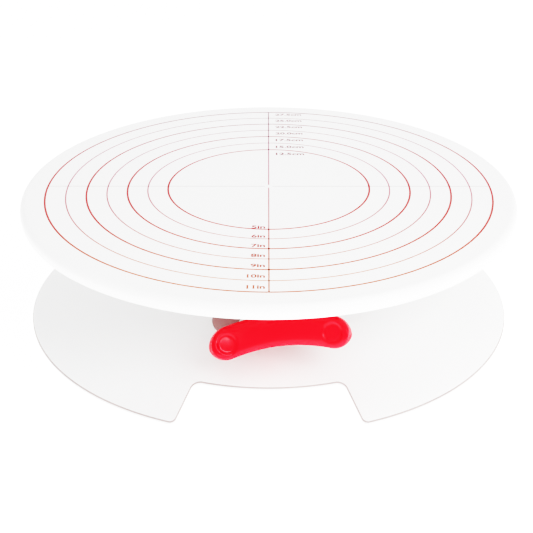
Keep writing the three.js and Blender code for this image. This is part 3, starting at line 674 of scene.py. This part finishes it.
def cone_shell():
    """The thin cone with its rounded edge, its front notch and its flat inner ring."""
    thickness = BASE_SKIN * math.hypot(1, CONE_SLOPE)
    outline = base_outline()
    rows = edge_rows(thickness)
    flat, triangles = cone_sheet(inset(outline, rows[0][0]))
    verts = [(p.x, p.y, cone_height(p.length)) for p in flat]
    verts += [(p.x, p.y, cone_height(p.length) - thickness) for p in flat]
    faces = list(triangles)
    faces += [tuple(len(flat) + i for i in reversed(face)) for face in triangles]

    def band(loops):
        """Quads between loops of points that follow each other."""
        size = len(loops[0])
        start = len(verts)
        for loop in loops:
            verts.extend(loop)
        for row in range(len(loops) - 1):
            for i in range(size):
                j = (i + 1) % size
                a, b = start + row * size, start + (row + 1) * size
                faces.append((a + i, a + j, b + j, b + i))

    band([
        [(p.x, p.y, cone_height(p.length) - drop) for p in inset(outline, distance)]
        for distance, drop in rows
    ])
    rounding, step = 1.2 * MM, 0.5 * MM
    inner = [(RING_OUTER, RING_TOP), (RING_OUTER - step, RING_TOP)]
    inner += arc(WELL_R + rounding, RING_TOP - rounding, rounding, 90, 180, 6)
    inner += [(WELL_R, RING_UNDERSIDE), (RING_OUTER - step, RING_UNDERSIDE)]
    inner += [(RING_OUTER, cone_height(RING_OUTER) - thickness)]
    turn = 2 * math.pi / CONE_COLUMNS
    band([
        [(r * math.cos(turn * i), r * math.sin(turn * i), z) for i in range(CONE_COLUMNS)]
        for r, z in inner
    ])
    cone = make_object("base_cone", verts, faces, BASE_WHITE, sharp=28)
    # The upper rounding of the skin near the rim and the notch takes the darker grey: painted shade along
    # the lip's edge.
    cone.data.materials.append(LIP_PAINTED_SHADE)
    painted_shade_from, painted_shade_to = 0.15 * MM, 0.9 * MM
    for face in cone.data.polygons:
        distance = face.center.xy.length
        drop = cone_height(distance) - face.center.z
        if distance > NOTCH_R - MM and painted_shade_from < drop < painted_shade_to:
            face.material_index = 1
    return cone


NOSE_FRONT = back_plate_high.y + GAP
NOSE_BACK = bushing_high.y
NOSE_HALF = 20 * MM
BACK_PLATE_END_R = (back_plate_high.z - back_plate_low.z) / 2
BACK_PLATE_HALF = back_plate_high.x
BACK_SCREW_X = 14 * MM
BACK_SCREW_DEPTH = 10 * MM
BUSHING_R = bushing_high.x


def tilt_axis_bores(bore_r, bore_y0, bore_y1, hole_y0, hole_y1, material):
    """Cutters for the bore on the tilt axis and for the back plate's two screws."""
    bores = [cylinder_y("bore", bore_r, bore_y0, bore_y1, 0, TILT_AXIS_Z, material)]
    for x in (-BACK_SCREW_X, BACK_SCREW_X):
        bores.append(cylinder_y("hole", SCREW_HOLE_R, hole_y0, hole_y1, x, TILT_AXIS_Z, material,
                                steps=24))
    return merged("bores", bores)


def build_base():
    cone = cone_shell()
    nose = prism("nose", stadium(NOSE_HALF, BACK_PLATE_END_R, TILT_AXIS_Z), NOSE_FRONT, NOSE_BACK,
                 BASE_WHITE, axis="Y")
    nose_edge = 0.8 * MM
    leg_bottom = cone_height(-NOSE_FRONT) - BASE_SKIN / 2
    leg = block("leg", (-NOSE_HALF, NOSE_FRONT, leg_bottom), (NOSE_HALF, NOSE_BACK, TILT_AXIS_Z),
                BASE_WHITE)
    boolean(nose, leg, "UNION")
    bevel(nose, nose_edge, segments=3, angle=60)
    boolean(cone, nose, "UNION")
    bores = tilt_axis_bores(BUSHING_R + GAP, NOSE_FRONT - MM, NOSE_BACK + MM,
                            NOSE_FRONT - MM, NOSE_FRONT + BACK_SCREW_DEPTH, BASE_WHITE)
    boolean(cone, bores, "DIFFERENCE")
    smooth(cone, 28)
    place(cone, "base", "base_white", "base_shell")


# ------------------------------------------------------------ the rocker and its back plate

LEVER_HALF = 38.8 * MM
LEVER_END_R = 9.2 * MM
LEVER_THICKNESS = 8 * MM
LEVER_REST = math.radians(7.3)
LEVER_LEAN = math.radians(27)
LEVER_MIDDLE = Vector((6, -111, 42.3)) * MM
LEVER_SWEEP = 6.4 * MM
LEVER_DROP = 1.3 * MM
LEVER_END = LEVER_HALF - LEVER_END_R
LEVER_BOSS_R = 8 * MM
LEVER_BOSS_BACK = -100.3 * MM
SHAFT_R = shaft_high.x
DIMPLE_R = 6.6 * MM
DIMPLE_WALL = 2.2 * MM
DIMPLE_DEPTH = 1.1 * MM
DIMPLE_OUTWARDS = 0.9 * MM


def lever_line(u):
    """Middle line of the bar: its wings sweep forwards and drop a little."""
    share = (u / LEVER_END) ** 2
    return Vector((u, -LEVER_SWEEP * share, -LEVER_DROP * share))


def lever_axes(u):
    """The directions out of the bar's face and up its face at a place along it."""
    slope = -2 * LEVER_SWEEP * u / LEVER_END ** 2
    across = Vector((slope, -1, 0)).normalized()
    up = Vector((0, 0, 1))
    face = across * math.cos(LEVER_LEAN) + up * math.sin(LEVER_LEAN)
    rise = across * -math.sin(LEVER_LEAN) + up * math.cos(LEVER_LEAN)
    return face, rise


def dimple_depth(point):
    """How far a point of the front face is pushed in by the two flat-floored dimples."""
    depth = 0.0
    for side in (-1, 1):
        u = side * (LEVER_END + DIMPLE_OUTWARDS)
        face, rise = lever_axes(u)
        away = point - lever_line(u)
        along = away.dot(rise.cross(face))
        distance = math.hypot(along, away.dot(rise))
        share = min(1.0, max(0.0, (DIMPLE_R - distance) / DIMPLE_WALL))
        depth += DIMPLE_DEPTH * share * share * (3 - 2 * share)
    return depth


def lever_section(u, steps):
    """One closed section across the bar: a flat oval that shrinks towards the round ends."""
    least_width, least_thickness = 0.2 * MM, 0.45
    squareness = 0.65
    dimple_blend = 0.35
    past = max(abs(u) - LEVER_END, 0)
    width = math.sqrt(max(LEVER_END_R ** 2 - past ** 2, least_width ** 2))
    fullness = least_thickness + (1 - least_thickness) * math.sqrt(width / LEVER_END_R)
    thick = LEVER_THICKNESS / 2 * min(1, fullness)
    face, rise = lever_axes(u)
    points = []
    for i in range(steps):
        turn = 2 * math.pi * (i + 0.5) / steps
        c, s = math.cos(turn), math.sin(turn)
        across = width * math.copysign(abs(c) ** squareness, c)
        out = thick * math.copysign(abs(s) ** squareness, s)
        point = lever_line(u) + rise * across + face * out
        if s > 0:
            share = min(1.0, s / dimple_blend)
            point -= face * dimple_depth(point) * share
        points.append(point)
    return points


def build_lever():
    length_steps, round_steps = 200, 72
    verts, faces = [], []
    for i in range(length_steps + 1):
        share = math.sin(math.pi / 2 * (2 * i / length_steps - 1))
        verts += lever_section(share * LEVER_HALF, round_steps)
    for row in range(length_steps):
        for i in range(round_steps):
            j = (i + 1) % round_steps
            a, b = row * round_steps, (row + 1) * round_steps
            faces.append((a + i, a + j, b + j, b + i))
    last = length_steps * round_steps
    faces.append(tuple(reversed(range(round_steps))))
    faces.append(tuple(last + i for i in range(round_steps)))
    place_at = Matrix.Translation(LEVER_MIDDLE) @ Matrix.Rotation(-LEVER_REST, 4, "Y")
    bar = make_object("rocker_bar", [place_at @ v for v in verts], faces, RED)
    boss = cylinder_y("boss", LEVER_BOSS_R, LEVER_MIDDLE.y, LEVER_BOSS_BACK, 0, TILT_AXIS_Z, RED)
    boolean(bar, boss, "UNION")
    bore = cylinder_y("bore", SHAFT_R + GAP, shaft_low.y - GAP, LEVER_BOSS_BACK + MM, 0, TILT_AXIS_Z, RED)
    boolean(bar, bore, "DIFFERENCE")
    smooth(bar, 40)
    place(bar, "lock_lever", "red_plastic", "lock_lever")


def build_back_plate():
    front, back = back_plate_low.y, back_plate_high.y
    plate_edge = 0.7 * MM
    # Its dark rosy grey is painted shade and painted red bounce light from the rocker.
    plate = prism("back_plate", stadium(BACK_PLATE_HALF, BACK_PLATE_END_R, TILT_AXIS_Z, steps=40),
                  front, back, BACK_PLATE_SHADE_AND_RED_BOUNCE, axis="Y")
    bores = tilt_axis_bores(SHAFT_R + MM, front - MM, back + MM, front - MM, back + MM, BACK_PLATE_SHADE_AND_RED_BOUNCE)
    boolean(plate, bores, "DIFFERENCE")
    bevel(plate, plate_edge, segments=4, angle=50)
    place(plate, "base", "grey_plastic", "rocker_back_plate")


# ------------------------------------------------------------ the bearing and the hub

FOOT_COUNT = 6
BALL_COUNT = 8
BALL_R = (ball_high.z - ball_low.z) / 2
BALL_Z = (ball_high.z + ball_low.z) / 2
BALL_CIRCLE = (ball_high.x + ball_low.x) / 2
SPINDLE_R = 4 * MM
BEARING_EDGE = 0.2 * MM


def ball_places():
    turn = 2 * math.pi / BALL_COUNT
    return [(BALL_CIRCLE * math.cos(turn * i), BALL_CIRCLE * math.sin(turn * i)) for i in range(BALL_COUNT)]


def build_balls():
    profile = arc(0, 0, BALL_R, -90, 90, 20)
    profile[0], profile[-1] = (0, -BALL_R), (0, BALL_R)
    for i, (x, y) in enumerate(ball_places()):
        ball = revolve(f"steel_ball_{i + 1}", profile, STEEL, segments=40, closed=False)
        ball.data.transform(Matrix.Translation((x, y, BALL_Z)))
        place(ball, "ball_ring", "steel", f"bearing_ball_{i + 1}")


def build_race(node, body, grooved_top):
    """A ground ring with the round groove that the balls run in."""
    low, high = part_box(node)
    half_width = high.x - BALL_CIRCLE
    groove_r = BALL_R + GAP
    grooved, plain = (high.z, low.z) if grooved_top else (low.z, high.z)
    edge = math.degrees(math.asin(abs(BALL_Z - grooved) / groove_r))
    start, end = (180 + edge, 360 - edge) if grooved_top else (180 - edge, edge)
    profile = [(BALL_CIRCLE - half_width, plain), (BALL_CIRCLE - half_width, grooved)]
    profile += arc(BALL_CIRCLE, BALL_Z, groove_r, start, end, 12)
    profile += [(BALL_CIRCLE + half_width, grooved), (BALL_CIRCLE + half_width, plain)]
    race = revolve(node + "_ground", profile, STEEL, segments=144)
    bevel(race, BEARING_EDGE, segments=2, angle=50)
    smooth(race, 30)
    place(race, body, "steel", node)


def build_cage():
    low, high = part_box("ball_cage")
    half_width = high.x - BALL_CIRCLE
    inner, outer = BALL_CIRCLE - half_width, BALL_CIRCLE + half_width
    profile = [(inner, low.z), (outer, low.z), (outer, high.z), (inner, high.z)]
    cage = revolve("cage_ring", profile, ACETAL, segments=144)
    pockets = [
        prism(f"pocket_{i}", circle(BALL_R + GAP, x, y), low.z - MM, high.z + MM, ACETAL)
        for i, (x, y) in enumerate(ball_places())
    ]
    boolean(cage, merged("pockets", pockets), "DIFFERENCE")
    bevel(cage, BEARING_EDGE, segments=2, angle=50)
    smooth(cage, 30)
    place(cage, "ball_ring", "black_acetal", "ball_cage")


def build_hub():
    bore, rounding = SPINDLE_R + GAP, 0.5 * MM
    profile = [(bore, hub_low.z)]
    profile += arc(hub_high.x - rounding, hub_low.z + rounding, rounding, -90, 0, 5)
    profile += [(hub_high.x, hub_high.z), (bore, hub_high.z)]
    hub = revolve("hub_disc", profile, GREY, segments=144)
    holes = [
        prism(f"hub_hole_{i}", circle(SCREW_HOLE_R, x, y), hub_low.z - MM, hub_high.z + MM, GREY)
        for i, (x, y) in enumerate(quarter_turns(HUB_SCREW_CIRCLE))
    ]
    boolean(hub, merged("hub_holes", holes), "DIFFERENCE")
    smooth(hub, 30)
    place(hub, "turntable", "grey_plastic", "turntable_hub")


def build_foot(number):
    """A rubber post with a rounded, dished sole, its top sloping with the cone above it."""
    top_band = 0.01 * MM
    node = f"rubber_foot_{number}"
    low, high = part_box(node)
    x, y = (low.x + high.x) / 2, (low.y + high.y) / 2
    radius = (high.x - low.x) / 2
    rounding, dish_r, dish = 0.9 * MM, 3.6 * MM, 0.5 * MM
    thickness = BASE_SKIN * math.hypot(1, CONE_SLOPE)
    rings = 6
    profile = [(0, dish), (dish_r, dish), (dish_r + dish, 0)]
    profile += arc(radius - rounding, rounding, rounding, -90, 0, 5)
    profile += [(radius * (1 - i / rings), high.z) for i in range(rings + 1)]
    foot = revolve(f"foot_post_{number}", profile, RUBBER, segments=64, closed=False)
    foot.data.transform(Matrix.Translation((x, y, 0)))
    middle = Vector((x, y)).length
    for vertex in foot.data.vertices:
        if vertex.co.z > high.z - top_band:
            distance = min(vertex.co.xy.length, middle + radius)
            vertex.co.z = cone_height(distance) - thickness - GAP
    smooth(foot, 35)
    place(foot, "base", "grey_rubber", node)


MOULDED_EDGE = 0.5 * MM
CAP_EDGE = 0.4 * MM


def build_refined(node, body, slot, material, width):
    """A moulded piece: the CAD shape with its sharp edges rounded."""
    weld, flat = 0.01 * MM, math.radians(1)
    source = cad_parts[node]
    mesh = source.data.copy()
    mesh.transform(source.matrix_world)
    work = bmesh.new()
    work.from_mesh(mesh)
    bmesh.ops.remove_doubles(work, verts=work.verts, dist=weld)
    bmesh.ops.dissolve_limit(work, angle_limit=flat, verts=work.verts, edges=work.edges)
    work.to_mesh(mesh)
    work.free()
    mesh.materials.clear()
    mesh.materials.append(material)
    made = new_object(node + "_moulded", mesh)
    bevel(made, width, segments=2, angle=50)
    smooth(made, 35)
    place(made, body, slot, node)


# ------------------------------------------------------------ the CAD pieces that stay

def finish_nodes():
    """Gives every CAD node a material: screws, nut, washer and spring are zinc plated."""
    looks = {
        "brake_yoke": GREY, "lever_bushing": ACETAL, "lock_cam": ACETAL,
        "brake_pad_left": RUBBER, "brake_pad_right": RUBBER,
        "centre_spindle": STEEL, "tilt_pin_front": STEEL, "tilt_pin_rear": STEEL,
        "lever_shaft": STEEL,
    }
    for name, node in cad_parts.items():
        node.data.materials.clear()
        node.data.materials.append(looks.get(name, ZINC))


# ------------------------------------------------------------ floor, light and camera

def build_floor():
    reach = 4.0
    tone_scale = 3.0
    made = Nodes("pale_floor")
    patches = made.noise(made.object_coordinates(), tone_scale)
    tone = made.ramp(patches, [(0.3, (0.85, 0.85, 0.85)), (0.7, (0.87, 0.87, 0.87))])
    made.link(tone, made.shader.inputs["Base Color"])
    made.shader.inputs["Roughness"].default_value = 0.9
    made.shader.inputs["Emission Color"].default_value = (1, 1, 1, 1)
    made.shader.inputs["Emission Strength"].default_value = 0.85
    verts = [(-reach, -reach, 0), (reach, -reach, 0), (reach, reach, 0), (-reach, reach, 0)]
    floor = make_object("floor", verts, [(0, 1, 2, 3)], made.material)


def facing(location, target):
    """The rotation that turns a lamp or a camera at `location` towards `target`."""
    return (Vector(target) - Vector(location)).to_track_quat("-Z", "Y").to_euler()


def soft_light(name, location, target, size, power):
    data = bpy.data.lights.new(name, "AREA")
    data.shape = "DISK"
    data.size = size
    data.energy = power
    light = new_object(name, data)
    light.location = location
    light.rotation_euler = facing(location, target)


def build_light():
    world = bpy.data.worlds.new("white_studio")
    world.use_nodes = True
    sky = world.node_tree.nodes["Background"]
    sky.inputs["Color"].default_value = (1, 1, 1, 1)
    sky.inputs["Strength"].default_value = 0.78
    bpy.context.scene.world = world
    middle = (0, 0, 0.06)
    soft_light("front_softbox", (0.80, -0.95, 0.98), middle, size=0.8, power=8.5)
    soft_light("top_softbox", (0.5, 0.1, 1.45), middle, size=0.9, power=3.0)
    set_tones()


def set_tones():
    """A soft shoulder, as in a bright studio picture: whites crowd together, darks stay."""
    settings = bpy.context.scene.view_settings
    settings.view_transform = "Standard"
    settings.look = "None"
    settings.use_curve_mapping = True
    mapping = settings.curve_mapping
    white = 1.6
    mapping.white_level = (white, white, white)
    combined = 3
    curve = mapping.curves[combined]
    toe = [(0.05, 0.010), (0.12, 0.10), (0.25, 0.40)]
    shoulder = [(0.5, 0.73), (0.75, 0.87), (1.0, 0.935), (1.3, 0.98)]
    for scene_level, shown_level in toe + shoulder:
        curve.points.new(scene_level / white, shown_level)
    mapping.update()


def build_camera():
    """The camera of the photo."""
    data = bpy.data.cameras.new("photo_camera")
    data.lens = 74.26
    data.sensor_width = 36
    location, target = (-0.0009, -0.642, 0.3567), (-0.0014, -0.0004, 0.025)
    camera = new_object("photo_camera", data)
    camera.location = location
    camera.rotation_euler = facing(location, target)
    bpy.context.scene.camera = camera


build_camera()
build_light()
build_floor()
finish_nodes()
build_plate()
build_printing()
build_base()
build_lever()
build_back_plate()
build_balls()
build_race("lower_race", "tilt_head", True)
build_race("upper_race", "turntable", False)
build_cage()
build_hub()
for foot_number in range(1, FOOT_COUNT + 1):
    build_foot(foot_number)
build_refined("tilt_head", "tilt_head", "grey_plastic", GREY, MOULDED_EDGE)
build_refined("pivot_tub", "base", "base_white", BASE_WHITE, MOULDED_EDGE)
build_refined("axle_cap_front", "base", "grey_plastic", GREY, CAP_EDGE)
build_refined("axle_cap_rear", "base", "grey_plastic", GREY, CAP_EDGE)
